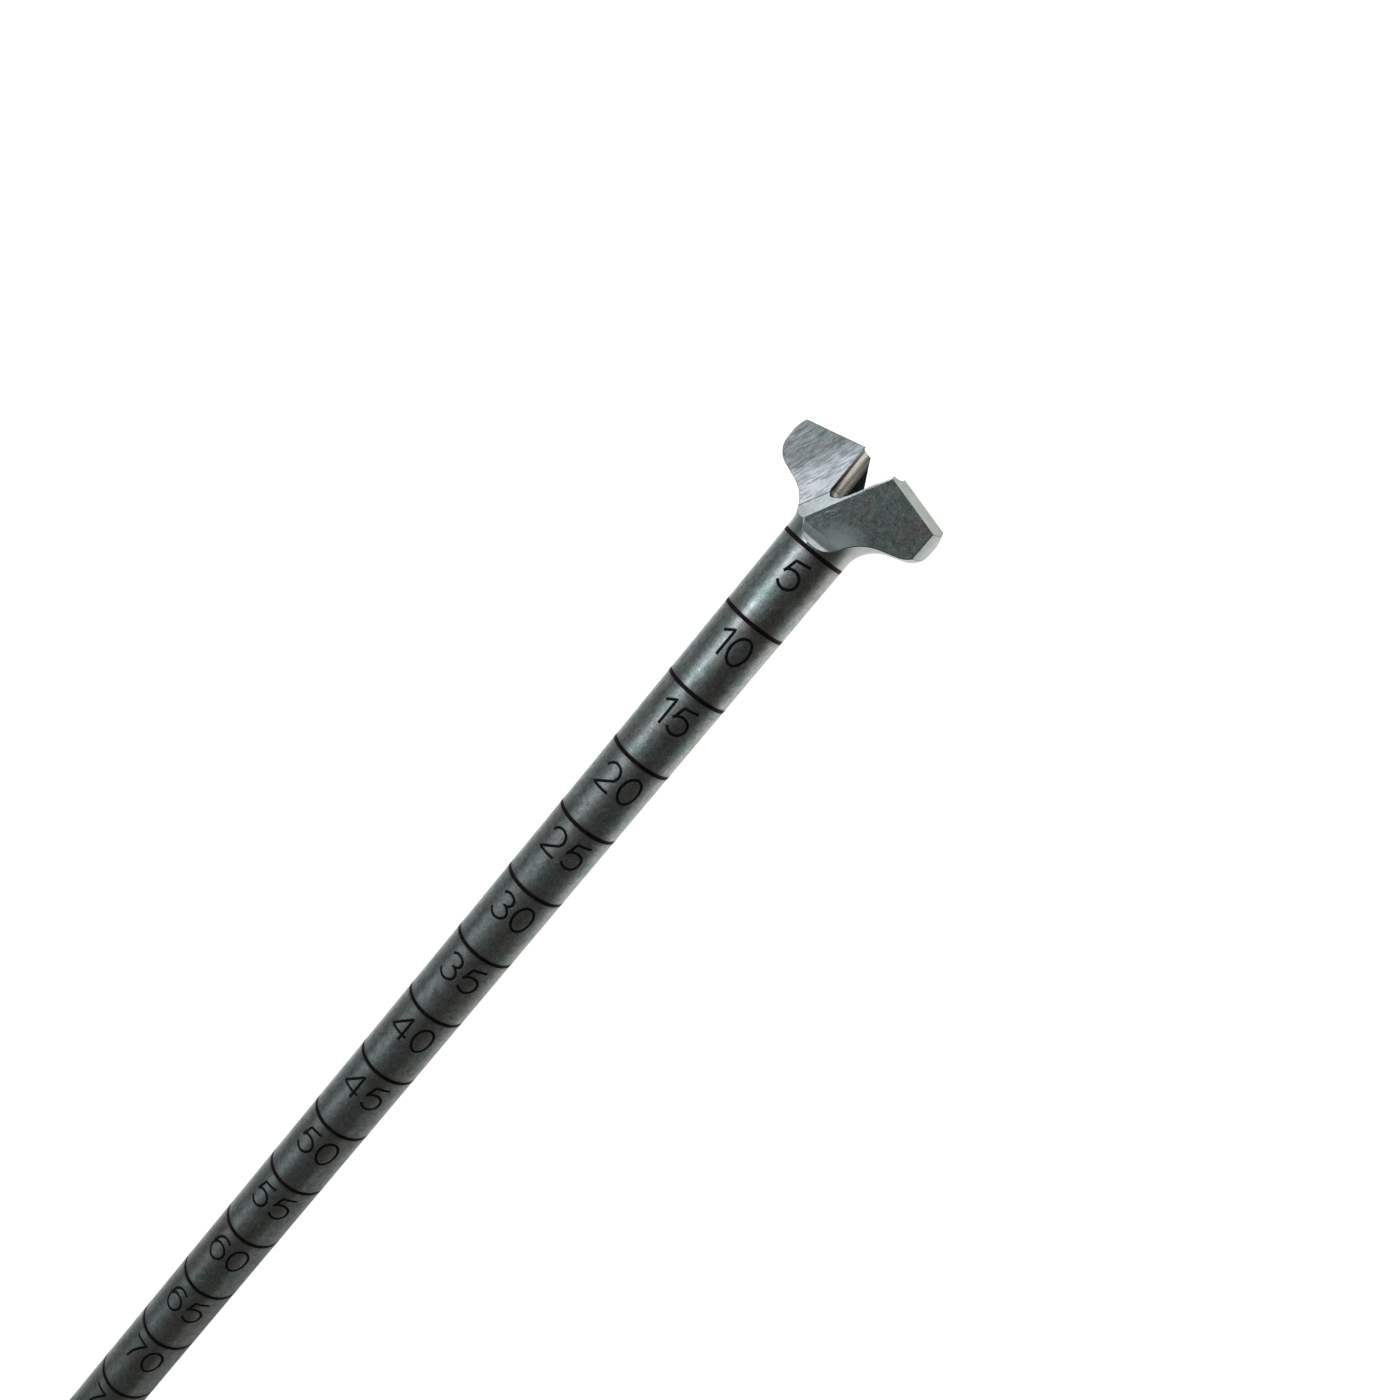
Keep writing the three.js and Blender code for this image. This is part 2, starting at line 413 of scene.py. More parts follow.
def root_masks(sheet, position, start, end):
    """A mask for the painted highlight at the foot of the notch wall, and the height of the face where it
    curves up to the wall.
    """
    place = sheet.add("ShaderNodeSeparateXYZ")
    sheet.join(position, place.inputs[0])
    across = sheet.math("ABSOLUTE", place.outputs["Y"])
    along = sheet.math("SUBTRACT", place.outputs["X"], SCALE_ZERO.x + WALL_FOOT * MM)
    ahead = sheet.math("MULTIPLY_ADD", across, WALL_RUN, along)
    near = sheet.math("DIVIDE", sheet.math("SUBTRACT", end, ahead), end, clamp=True)
    rise = sheet.math("MULTIPLY", sheet.math("POWER", near, 2.0), ROOT_RISE)
    return sheet.span(ahead, start, end, 1.0, 0.0), rise


HEAT_TINT = (0.32, 0.27, 0.25, 1)
RING_HEAT = (0.00012, 0.0004)
NUMBER_HEAT_START = (0.0003, 0.0007)
NUMBER_HEAT_END = (0.0024, 0.0030)
NUMBER_HEAT_SIDE = (0.0011, 0.0017)
RING_TINT = 0.7
NUMBER_TINT = 0.2


def heat_mask(sheet, position):
    """Where the laser's heat browned the steel: close to each ring, and faintly under each number."""
    place = sheet.add("ShaderNodeSeparateXYZ")
    sheet.join(position, place.inputs[0])
    behind = sheet.math("SUBTRACT", SCALE_ZERO.x, place.outputs["X"])
    from_ring = sheet.math("PINGPONG", behind, PITCH * MM / 2)
    ring = sheet.span(from_ring, *RING_HEAT, RING_TINT, 0.0)
    along = sheet.math("FLOORED_MODULO", behind, PITCH * MM)
    start = sheet.span(along, *NUMBER_HEAT_START)
    end = sheet.span(along, *NUMBER_HEAT_END, 1.0, 0.0)
    side = sheet.span(sheet.math("ABSOLUTE", place.outputs["Y"]), *NUMBER_HEAT_SIDE, 1.0, 0.0)
    top = sheet.math("GREATER_THAN", place.outputs["Z"], SCALE_ZERO.z)
    number = sheet.math("MULTIPLY", sheet.math("MULTIPLY", start, end), sheet.math("MULTIPLY", side, top))
    tint = sheet.math("MULTIPLY_ADD", number, NUMBER_TINT, ring, clamp=True)
    return sheet.math("MULTIPLY", tint, sheet.math("LESS_THAN", behind, (LAST_MARK + PITCH / 2) * MM))


SCRATCH_LIGHT = (0.55, 0.60, 0.60, 1)
# Painted highlight: the back is coloured paler towards the run-out corner by the neck.
RUNOUT_PAINTED_HIGHLIGHT = (0.50, 0.54, 0.53, 1)
SCRATCH_SPREAD = (-0.0022, -0.0003)
SCRATCH_SCALE = 5200.0
SCRATCH_STRETCH = 0.05
SCRATCH_PATCHES = 1100.0
RUNOUT_ALONG = -4.1
RUNOUT_ACROSS = -1.2
RUNOUT_SPREAD = (0.0002, 0.0019)


def back_marks(sheet, position):
    """Two masks for a wing's back: scratches along the notch's edge, and a painted highlight at the run-out
    corner.
    """
    place = sheet.add("ShaderNodeSeparateXYZ")
    sheet.join(position, place.inputs[0])
    above = sheet.math("SIGN", sheet.math("SUBTRACT", place.outputs["Z"], SCALE_ZERO.z))
    across = sheet.math("MULTIPLY", place.outputs["Y"], above)
    along = sheet.math("SUBTRACT", place.outputs["X"], SCALE_ZERO.x)
    from_edge = sheet.math("MULTIPLY_ADD", across, WALL_RUN, sheet.math("SUBTRACT", along, WALL_TOP * MM))
    down_edge = sheet.math("MULTIPLY_ADD", along, -WALL_RUN, across)
    streaks = sheet.add("ShaderNodeCombineXYZ")
    sheet.join(from_edge, streaks.inputs["X"])
    sheet.join(sheet.math("MULTIPLY", down_edge, SCRATCH_STRETCH), streaks.inputs["Y"])
    lines = sheet.span(sheet.noise(streaks.outputs[0], SCRATCH_SCALE, detail=2.0), 0.57, 0.66)
    close = sheet.span(from_edge, *SCRATCH_SPREAD)
    patchy = sheet.span(sheet.noise(position, SCRATCH_PATCHES, detail=1.0), 0.42, 0.56)
    scratches = sheet.math("MULTIPLY", sheet.math("MULTIPLY", lines, close), patchy)
    aside = sheet.math("POWER", sheet.math("SUBTRACT", across, RUNOUT_ACROSS * MM), 2.0)
    ahead = sheet.math("POWER", sheet.math("SUBTRACT", along, RUNOUT_ALONG * MM), 2.0)
    corner = sheet.math("SQRT", sheet.math("ADD", aside, ahead))
    return scratches, sheet.span(corner, *RUNOUT_SPREAD, 0.7, 0.0)


def steel(
    name,
    colour,
    warm,
    green,
    stain,
    roughness,
    pitting,
    bump=0.35,
    lines=None,
    root_painted_highlight=None,
    heat=False,
    back=False,
):
    """Stainless steel with its stains and pits. Grinding lines are given as their direction and strength,
    and a painted highlight at the root, which is also duller, as its start and end ahead of the notch wall.
    Heat adds the laser's tint, and back the scratches and the painted highlight at the run-out of a wing's
    back."""
    material, sheet, shader, position = new_material(name)
    tumbled = sheet.add("ShaderNodeGroup", node_tree=TUMBLED)
    sheet.join(position, tumbled.inputs["Position"])
    values = {
        "Steel": colour,
        "Warm stain": warm,
        "Green stain": green,
        "Stain": stain,
        "Roughness": roughness,
        "Pitting": pitting,
    }
    for label, value in values.items():
        tumbled.inputs[label].default_value = value
    colour, height = tumbled.outputs["Color"], tumbled.outputs["Height"]
    dullness = tumbled.outputs["Roughness"]
    if root_painted_highlight:
        root, rise = root_masks(sheet, position, *root_painted_highlight)
        height = sheet.math("ADD", height, rise)
        # Painted highlight: the root's colour is blended towards near white.
        colour = sheet.blend(root, colour, ROOT_PAINTED_HIGHLIGHT)
        dullness = sheet.math("MULTIPLY_ADD", root, ROOT_DULLNESS, dullness)
    if back:
        scratches, corner = back_marks(sheet, position)
        # Painted highlight at the run-out corner, then the scratches.
        colour = sheet.blend(scratches, sheet.blend(corner, colour, RUNOUT_PAINTED_HIGHLIGHT), SCRATCH_LIGHT)
    if heat:
        colour = sheet.blend(heat_mask(sheet, position), colour, HEAT_TINT)
    if lines:
        direction, strength = lines
        turned = sheet.add("ShaderNodeMapping")
        sheet.join(position, turned.inputs["Vector"])
        turned.inputs["Rotation"].default_value = (0, 0, -direction)
        grinding = sheet.add("ShaderNodeGroup", node_tree=GRINDING)
        sheet.join(turned.outputs[0], grinding.inputs["Position"])
        grinding.inputs["Strength"].default_value = strength
        tone = sheet.math("MULTIPLY_ADD", grinding.outputs["Tone"], 0.5, 1.0)
        grey = sheet.add("ShaderNodeCombineColor")
        for channel in grey.inputs:
            sheet.feed(channel, tone)
        colour = sheet.blend(1.0, colour, grey.outputs[0], "MULTIPLY")
        height = sheet.math("ADD", height, grinding.outputs["Height"])
    sheet.join(colour, shader.inputs["Base Color"])
    sheet.join(dullness, shader.inputs["Roughness"])
    relief = sheet.add("ShaderNodeBump")
    relief.inputs["Strength"].default_value = bump
    relief.inputs["Distance"].default_value = PIT_DEPTH
    sheet.join(height, relief.inputs["Height"])
    sheet.join(relief.outputs["Normal"], shader.inputs["Normal"])
    return material


LASER_CLOUD = 5200.0
LASER_DARK = (0.004, 0.004, 0.006, 1)
LASER_BROWN = (0.016, 0.011, 0.011, 1)


def laser_black(name):
    """Annealed laser mark: near black with a brown cast where the beam went lighter."""
    material, sheet, shader, position = new_material(name)
    shader.inputs["Metallic"].default_value = 0.0
    cloud = sheet.noise(position, LASER_CLOUD, detail=3.0)
    colour = sheet.blend(sheet.span(cloud, 0.42, 0.7), LASER_DARK, LASER_BROWN)
    sheet.join(colour, shader.inputs["Base Color"])
    sheet.join(sheet.span(cloud, 0.3, 0.7, 0.5, 0.7), shader.inputs["Roughness"])
    shader.inputs["Specular IOR Level"].default_value = 0.15
    return material


WARM_STAIN = (0.37, 0.345, 0.325, 1)
GREEN_STAIN = (0.29, 0.375, 0.34, 1)
GRIND_DIRECTION = math.radians(-19.5)

SHAFT_STEEL = steel(
    "satin_shaft", (0.385, 0.41, 0.405, 1), WARM_STAIN, GREEN_STAIN, 0.8, 0.38, 1.2, bump=0.4, heat=True
)
TURNED_STEEL = steel("turned_flare", (0.41, 0.43, 0.42, 1), WARM_STAIN, GREEN_STAIN, 0.3, 0.33, 0.4)
BACK_STEEL = steel(
    "tumbled_wing_back",
    (0.18, 0.20, 0.19, 1),
    (0.19, 0.17, 0.16, 1),
    (0.13, 0.17, 0.15, 1),
    0.8,
    0.38,
    1.4,
    bump=0.6,
    back=True,
)
GROUND_STEEL = steel(
    "ground_cutting_face",
    (0.46, 0.47, 0.48, 1),
    (0.41, 0.38, 0.41, 1),
    (0.37, 0.42, 0.40, 1),
    0.8,
    0.38,
    0.6,
    bump=0.4,
    lines=(GRIND_DIRECTION, 0.7),
    # Painted highlight at the root of the cutting face, ahead of the notch wall.
    root_painted_highlight=(0.0008, 0.0048),
)
RELIEF_STEEL = steel(
    "ground_relief", (0.22, 0.25, 0.23, 1), (0.21, 0.22, 0.19, 1), (0.18, 0.23, 0.19, 1), 0.5, 0.3, 0.6
)
# Painted highlight: the notch wall's base colour is near white, far paler than the other steel, standing in
# for light it reflects.
WALL_PAINTED_HIGHLIGHT_STEEL = steel("notch_wall_painted_highlight", (0.86, 0.88, 0.88, 1), WARM_STAIN, GREEN_STAIN, 0.1, 0.44, 0.5)
EDGE_STEEL = steel("broken_edge", (0.16, 0.17, 0.17, 1), WARM_STAIN, GREEN_STAIN, 0.2, 0.3, 0.3)
# Painted shade: the bore is coloured near black where it lies in shade.
BORE_PAINTED_SHADE_STEEL = steel("bore_painted_shade", (0.09, 0.09, 0.09, 1), WARM_STAIN, GREEN_STAIN, 0.05, 0.3, 0.2, bump=0.1)
# Painted reflection: a beige band in the bore stands in for light reflected inside its hollow.
BORE_PAINTED_REFLECTION_STEEL = steel(
    "bore_painted_reflection", (0.52, 0.49, 0.43, 1), WARM_STAIN, GREEN_STAIN, 0.3, 0.3, 0.5, bump=0.2
)
SHANK_STEEL = steel("turned_shank", (0.46, 0.46, 0.45, 1), WARM_STAIN, GREEN_STAIN, 0.3, 0.28, 0.4)
LASER_MARK = laser_black("laser_mark_black")


# ---- Cutting head ------------------------------------------------------------------------------

LAND_FRONT = -0.95
LAND_BACK = -1.3
FRONT_ROUND = 2.33
STOCK_FRONT = 1.3
SHOULDER_ROUND = 1.2
NECK_ROUND = 1.96
FLARE = math.radians(70.6)
RIM_SHIFT = 0.6
FLAT_END_ROUND = 1.2
CLOSE = 0.01
MOUTH_RADIUS = 1.34
MOUTH_END = -1.95
MOUTH_CONE = 0.25


def head_profile():
    """Outline of the turned stock, from the weld along the neck, the flare and the rim to the front."""
    quarter = math.pi / 2
    corner = LAND_BACK - SHOULDER_ROUND * math.tan(FLARE / 2)
    foot = corner - (HEAD_RADIUS - SHAFT_RADIUS) / math.tan(FLARE)
    neck_start = foot - NECK_ROUND * math.tan(FLARE / 2)
    nose = quarter - math.asin((STOCK_FRONT - LAND_FRONT) / FRONT_ROUND)
    neck = arc(neck_start, SHAFT_RADIUS + NECK_ROUND, NECK_ROUND, -quarter, FLARE - quarter)
    shoulder = arc(LAND_BACK, HEAD_RADIUS - SHOULDER_ROUND, SHOULDER_ROUND, quarter + FLARE, quarter)
    front = arc(LAND_FRONT, HEAD_RADIUS - FRONT_ROUND, FRONT_ROUND, quarter, nose)
    return [(NECK_END, SHAFT_RADIUS), *neck, *shoulder, *front]


def box_tool(name, low, high):
    """A block between two opposite corners."""
    clear_selection()
    middle = [(a + b) / 2 for a, b in zip(low, high)]
    bpy.ops.mesh.primitive_cube_add(size=1, location=middle)
    tool = named(name)
    tool.scale = [b - a for a, b in zip(low, high)]
    bpy.ops.object.transform_apply(location=True, rotation=True, scale=True)
    return tool


def back_tool():
    """Milling cutter above one wing's back, with its corner radius at the neck."""
    tool = box_tool("back_tool", (FLAT_END - FLAT_END_ROUND, -REACH, WING_BACK), (REACH, REACH, REACH))
    pick(tool)
    bpy.ops.object.mode_set(mode="EDIT")
    bpy.ops.mesh.select_mode(type="EDGE")
    bpy.ops.mesh.select_all(action="DESELECT")
    bpy.ops.object.mode_set(mode="OBJECT")
    for edge in tool.data.edges:
        ends = [tool.data.vertices[index].co for index in edge.vertices]
        edge.select = all(end.x < 0 and end.z < WING_BACK + CLOSE for end in ends)
    bpy.ops.object.mode_set(mode="EDIT")
    bpy.ops.mesh.bevel(offset=FLAT_END_ROUND, segments=14, affect="EDGES")
    bpy.ops.object.mode_set(mode="OBJECT")
    return tool


def rim_tool():
    """Grinding wheel off the tool's axis, which relieves one wing's rim behind its cutting edge."""
    tool = box_tool("rim_tool", (-REACH, -REACH, -REACH), (REACH, -2, REACH))
    rim = turn_piece("rim", [(-REACH - 1, HEAD_RADIUS), (REACH + 1, HEAD_RADIUS)])
    rim.data.transform(Matrix.Translation((0, 0, -RIM_SHIFT)))
    cut_away(tool, rim)
    return tool


WALL_LEAN_LOST = 0.75
TWIST_START = -0.1
TWIST_LENGTH = 0.8
WALL_FROM = -1.3
WALL_TO = 2.6
NOTCH_TOP = 2.2
NOTCH_OUTER = 7.0
LAST_COLUMN = 0.999


def wall_along(across, height):
    """How far along the tool the notch wall stands, at one distance across and one height."""
    twist = min(max((TWIST_START - across) / TWIST_LENGTH, 0), 1)
    twist = twist * twist * (3 - 2 * twist)
    return WALL_TOP - WALL_RUN * across + (WALL_LEAN - WALL_LEAN_LOST * twist) * (WING_BACK - height)


def notch_tool():
    """Cutter of the notch above one wing's cutting face. Its back side is drawn onto the twisted wall."""
    clear_selection()
    bpy.ops.mesh.primitive_grid_add(x_subdivisions=60, y_subdivisions=16, size=1)
    tool = named("notch_tool")
    for corner in tool.data.vertices:
        share, level = corner.co.x + 0.5, corner.co.y + 0.5
        across = NOTCH_OUTER if share > LAST_COLUMN else WALL_FROM + (WALL_TO - WALL_FROM) * share
        height = CUTTING_FACE + (NOTCH_TOP - CUTTING_FACE) * level
        corner.co = (wall_along(across, height), across, height)
    bpy.ops.object.mode_set(mode="EDIT")
    bpy.ops.mesh.select_all(action="SELECT")
    bpy.ops.mesh.extrude_region_move(TRANSFORM_OT_translate={"value": (REACH + NOTCH_OUTER, 0, 0)})
    bpy.ops.transform.resize(value=(0, 1, 1), center_override=(REACH, 0, 0))
    bpy.ops.mesh.select_all(action="SELECT")
    bpy.ops.mesh.normals_make_consistent(inside=False)
    bpy.ops.object.mode_set(mode="OBJECT")
    return tool


def bore_tool():
    """Drill through the axis, a little wider at the mouth between the wings."""
    mouth = [(MOUTH_END - MOUTH_CONE, BORE_RADIUS), (MOUTH_END, MOUTH_RADIUS)]
    return turn_piece("bore_tool", [(-REACH, BORE_RADIUS), *mouth, (REACH, MOUTH_RADIUS)], sides=TUBE_SIDES)


EDGE_BREAK = 0.03
NECK_FROM = FLAT_END + 0.1
# Distances across the axis of the bore's band that gets the painted reflection.
REFLECTION_BAND_FROM = 0.62
REFLECTION_BAND_TO = 1.25
WALL_OUTER = 3.2
BACK_FROM = WING_BACK - 0.1
FACES_AXIS = -0.4
FACES_UP = 0.99
FACES_RELIEF = 0.985
FACES_AHEAD = 0.2
FACES_WALL = 0.1
RELIEF_OFFSET = 1.151
RELIEF = Vector((1, -0.245, 0.27))

HEAD_FINISHES = [
    TURNED_STEEL,
    BACK_STEEL,
    GROUND_STEEL,
    RELIEF_STEEL,
    WALL_PAINTED_HIGHLIGHT_STEEL,
    BORE_PAINTED_SHADE_STEEL,
    BORE_PAINTED_REFLECTION_STEEL,
    EDGE_STEEL,
]


def sort_finishes(head):
    """Gives each of the head's faces the finish of how it was made: turned, tumbled, ground and so on; the
    notch wall gets a painted highlight, and the bore painted shade and a painted reflection band.
    """
    for material in HEAD_FINISHES:
        head.data.materials.append(material)
    relief = RELIEF.normalized()
    for face in head.data.polygons:
        place, facing = face.center, face.normal
        side = 1 if place.y < 0 else -1
        radius = math.hypot(place.y, place.z)
        outward = (place.y * facing.y + place.z * facing.z) / radius
        finish = TURNED_STEEL
        if radius < MOUTH_RADIUS + CLOSE and outward < FACES_AXIS:
            # Bore faces get painted shade, except a band which gets a painted reflection.
            in_reflection_band = place.y * place.z < 0 and REFLECTION_BAND_FROM < abs(place.y) < REFLECTION_BAND_TO
            finish = BORE_PAINTED_REFLECTION_STEEL if in_reflection_band else BORE_PAINTED_SHADE_STEEL
        elif abs(facing.z) > FACES_UP:
            finish = BACK_STEEL if abs(place.z) > BACK_FROM else GROUND_STEEL
        elif facing.x * relief.x + (facing.y * relief.y + facing.z * relief.z) * side > FACES_RELIEF:
            finish = RELIEF_STEEL
        # Faces of the notch wall get the painted highlight.
        elif facing.x > FACES_AHEAD and facing.y * facing.z > FACES_WALL and radius < WALL_OUTER:
            finish = WALL_PAINTED_HIGHLIGHT_STEEL
        face.material_index = HEAD_FINISHES.index(finish)


def cutting_head():
    """Turned stock, then sawn, ground, milled and drilled. Edges at the neck keep the turned finish."""
    head = turn_piece("reamer_head", head_profile())
    for side in (1, -1):
        normal = Vector((RELIEF.x, RELIEF.y * side, RELIEF.z * side))
        bisect_off(head, normal * (RELIEF_OFFSET / normal.length_squared), normal)
    for tool in (notch_tool(), back_tool(), rim_tool()):
        other = half_turned(tool)
        cut_away(head, tool)
        cut_away(head, other)
    cut_away(head, bore_tool())
    sort_finishes(head)
    edge_finish, turned_finish = HEAD_FINISHES.index(EDGE_STEEL), HEAD_FINISHES.index(TURNED_STEEL)
    break_edges(head, EDGE_BREAK, finish=edge_finish)
    for face in head.data.polygons:
        if face.material_index == edge_finish and face.center.x < NECK_FROM:
            face.material_index = turned_finish
    return settle(head, stands_for="cutter_head")


# ---- Shaft and shank ---------------------------------------------------------------------------


TUBE_STEPS = 40


def scale_tube():
    """The tube with its bore, from the weld to the tail, in short lengths so that it bakes evenly."""
    front = WELD_SEAM - WELD_GAP / 2
    stations = [front + (TAIL - front) * step / TUBE_STEPS for step in range(TUBE_STEPS + 1)]
    outside = [(along, SHAFT_RADIUS) for along in stations]
    inside = [(along, BORE_RADIUS) for along in reversed(stations)]
    tube = turn_piece("scale_tube", [*outside, *inside, outside[0]], sides=TUBE_SIDES, closed_ring=True)
    return settle(tube, [SHAFT_STEEL], stands_for="graduated_shaft")


SHANK_RADIUS = (SHANK_HIGH.y - SHANK_LOW.y) / 2 / MM
SHANK_FLAT = (SCALE_ZERO.z - SHANK_LOW.z) / MM
SLEEVE_GAP = 0.04
NOSE_RADIUS = 2.25
NOSE_LENGTH = 3.2
END_CHAMFER = 0.5
FLAT_COUNT = 3
SHANK_BREAK = 0.08


def chuck_shank():
    """Sleeve over the tail of the tube, with a tapered nose and three flats for a chuck."""
    sleeve = SHAFT_RADIUS + SLEEVE_GAP
    ring = [
        (TAIL, sleeve),
        (TAIL, SHANK_RADIUS - END_CHAMFER),
        (TAIL + END_CHAMFER, SHANK_RADIUS),
        (SHANK_FRONT - NOSE_LENGTH, SHANK_RADIUS),
        (SHANK_FRONT, NOSE_RADIUS),
        (SHANK_FRONT, sleeve),
        (TAIL, sleeve),
    ]
    shank = turn_piece("chuck_shank", ring, closed_ring=True)
    for flat in range(FLAT_COUNT):
        turn = 2 * math.pi * flat / FLAT_COUNT - math.pi
        tool = box_tool("flat_tool", (TAIL - 1, -REACH, SHANK_FLAT), (SHANK_FRONT + 1, REACH, REACH))
        tool.data.transform(Matrix.Rotation(turn, 4, "X"))
        cut_away(shank, tool)
    break_edges(shank, SHANK_BREAK)
    return settle(shank, [SHANK_STEEL], stands_for="drive_shank")


# ---- Depth scale -------------------------------------------------------------------------------

LINE_WIDTH = 0.245
MARK_HEIGHT = 0.004
MARK_DEPTH = 0.01


def depth_rings():
    """Narrow bands every 5 mm, joined into one mesh."""
    outer, inner, half = SHAFT_RADIUS + MARK_HEIGHT, SHAFT_RADIUS - MARK_DEPTH, LINE_WIDTH / 2
    section = [(-half, inner), (-half, outer), (half, outer), (half, inner), (-half, inner)]
    first = turn_piece("depth_rings", section, sides=TUBE_SIDES, closed_ring=True)
    bands = [first]
    for depth in range(2 * PITCH, LAST_MARK + 1, PITCH):
        band = first.copy()
        band.data = first.data.copy()
        bpy.context.scene.collection.objects.link(band)
        band.data.transform(Matrix.Translation((PITCH - depth, 0, 0)))
        bands.append(band)
    clear_selection()
    for band in bands:
        band.select_set(True)
    bpy.context.view_layer.objects.active = first
    bpy.ops.object.join()
    first.data.transform(Matrix.Translation((-PITCH, 0, 0)))
    return settle(first, [LASER_MARK])


STROKE = 0.205
DIGIT_HEIGHT = 1.69
DIGIT_GAP = 0.36
NUMBER_GAP = 0.77
NUMBER_TURN = math.radians(-6.5)


def bow(u, v, wide, high, start, end, steps=18):
    """Points of a round stroke about (u, v), from one angle to another in degrees."""
    turns = [math.radians(start + (end - start) * step / steps) for step in range(steps + 1)]
    return [(u + wide * math.cos(turn), v + high * math.sin(turn)) for turn in turns]


DIGITS = {
    "0": (1.12, [bow(0.56, 0.845, 0.56, 0.845, 0, 360, 36)]),
    "1": (0.56, [[(0.0, 1.27), (0.56, 1.69), (0.56, 0.0)]]),
    "2": (1.17, [[*bow(0.58, 1.13, 0.52, 0.56, 168, -38), (0.0, 0.0), (1.17, 0.0)]]),
    "3": (1.15, [[*bow(0.6, 1.29, 0.47, 0.40, 155, -90), *bow(0.6, 0.47, 0.56, 0.47, 80, -158)]]),
    "4": (1.28, [[(0.98, 0.0), (0.98, 1.69), (0.0, 0.42), (1.28, 0.42)]]),
    "5": (1.18, [[(1.14, 1.72), (0.27, 1.58), (0.09, 0.78), *bow(0.56, 0.54, 0.58, 0.56, 150, -147)]]),
    "6": (1.17, [[*bow(0.7, 0.75, 0.67, 0.94, 55, 180), *bow(0.59, 0.58, 0.57, 0.57, 175, -185, 36)]]),
    "7": (1.05, [[(0.0, 1.69), (1.05, 1.69), (0.72, 1.15), (0.48, 0.65), (0.36, 0.0)]]),
    "8": (1.12, [bow(0.56, 1.28, 0.43, 0.41, 0, 360, 30), bow(0.56, 0.44, 0.55, 0.44, 0, 360, 30)]),
    "9": (1.17, [[*bow(0.47, 0.94, 0.67, 0.94, -125, 0), *bow(0.58, 1.11, 0.57, 0.57, -5, 355, 36)]]),
}


def close_spaced(points, spacing=0.1):
    """The same stroke with more points on its straight runs, so that it can be wrapped."""
    spaced = [points[0]]
    for start, end in zip(points, points[1:]):
        steps = max(1, round(math.dist(start, end) / spacing))
        for step in range(1, steps + 1):
            share = step / steps
            spaced.append((start[0] + (end[0] - start[0]) * share, start[1] + (end[1] - start[1]) * share))
    return spaced


def stroke_curve(name, strokes):
    """Strokes drawn in the XY plane as one curve with a round section."""
    curve = bpy.data.curves.new(name, "CURVE")
    curve.dimensions = "3D"
    curve.bevel_depth = STROKE / 2
    curve.bevel_resolution = 2
    curve.use_fill_caps = True
    for points in map(close_spaced, strokes):
        spline = curve.splines.new("POLY")
        spline.points.add(len(points) - 1)
        for point, (u, v) in zip(spline.points, points):
            point.co = (u, v, 0, 1)
    drawing = bpy.data.objects.new(name, curve)
    bpy.context.scene.collection.objects.link(drawing)
    return drawing


def number_strokes(depth):
    """Strokes of one number, centred across the shaft, with its top just behind its ring."""
    text = str(depth)
    width = sum(DIGITS[digit][0] for digit in text) + DIGIT_GAP * (len(text) - 1)
    cursor, base, strokes = -width / 2, -depth - NUMBER_GAP - DIGIT_HEIGHT, []
    for digit in text:
        wide, shapes = DIGITS[digit]
        strokes += [[(cursor + u, base + v) for u, v in shape] for shape in shapes]
        cursor += wide + DIGIT_GAP
    return strokes


def depth_numerals():
    """Numbers drawn flat, made a mesh, pressed thin and wrapped round the shaft."""
    strokes = []
    for depth in range(PITCH, LAST_MARK + 1, PITCH):
        strokes += number_strokes(depth)
    drawing = stroke_curve("depth_numerals", strokes)
    pick(drawing)
    bpy.ops.object.convert(target="MESH")
    numerals = bpy.context.object
    thin = (MARK_HEIGHT + MARK_DEPTH) / STROKE
    for corner in numerals.data.vertices:
        across, along, rise = corner.co
        radius = SHAFT_RADIUS + (MARK_HEIGHT - MARK_DEPTH) / 2 + rise * thin
        turn = NUMBER_TURN - across / SHAFT_RADIUS
        corner.co = (along, radius * math.sin(turn), radius * math.cos(turn))
    pick(numerals)
    bpy.ops.object.mode_set(mode="EDIT")
    bpy.ops.mesh.select_all(action="SELECT")
    bpy.ops.mesh.remove_doubles(threshold=SAME_POINT)
    bpy.ops.mesh.normals_make_consistent(inside=False)
    bpy.ops.object.mode_set(mode="OBJECT")
    return settle(numerals, [LASER_MARK], smooth=60)


# ---- Studio ------------------------------------------------------------------------------------

CAMERA_PLACE = SCALE_ZERO + Vector((-0.608, -7.371, 66.387)) * MM
CAMERA_AIM = SCALE_ZERO + Vector((-15.39, -0.49, 0)) * MM
CAMERA_UPRIGHT = math.radians(39.83)
CAMERA_LENS = 31.53
CAMERA_SENSOR = 36
CAMERA_NEAR = 0.001


def set_camera():
    clear_selection()
    bpy.ops.object.camera_add(location=CAMERA_PLACE)
    camera = bpy.context.object
    camera.name = "camera"
    back = (CAMERA_PLACE - CAMERA_AIM).normalized()
    upright = Vector((math.cos(CAMERA_UPRIGHT), math.sin(CAMERA_UPRIGHT), 0))
    right = upright.cross(back).normalized()
    up = back.cross(right)
    camera.rotation_euler = Matrix((right, up, back)).transposed().to_euler()
    camera.data.lens = CAMERA_LENS
    camera.data.sensor_width = CAMERA_SENSOR
    camera.data.clip_start = CAMERA_NEAR
    bpy.context.scene.camera = camera


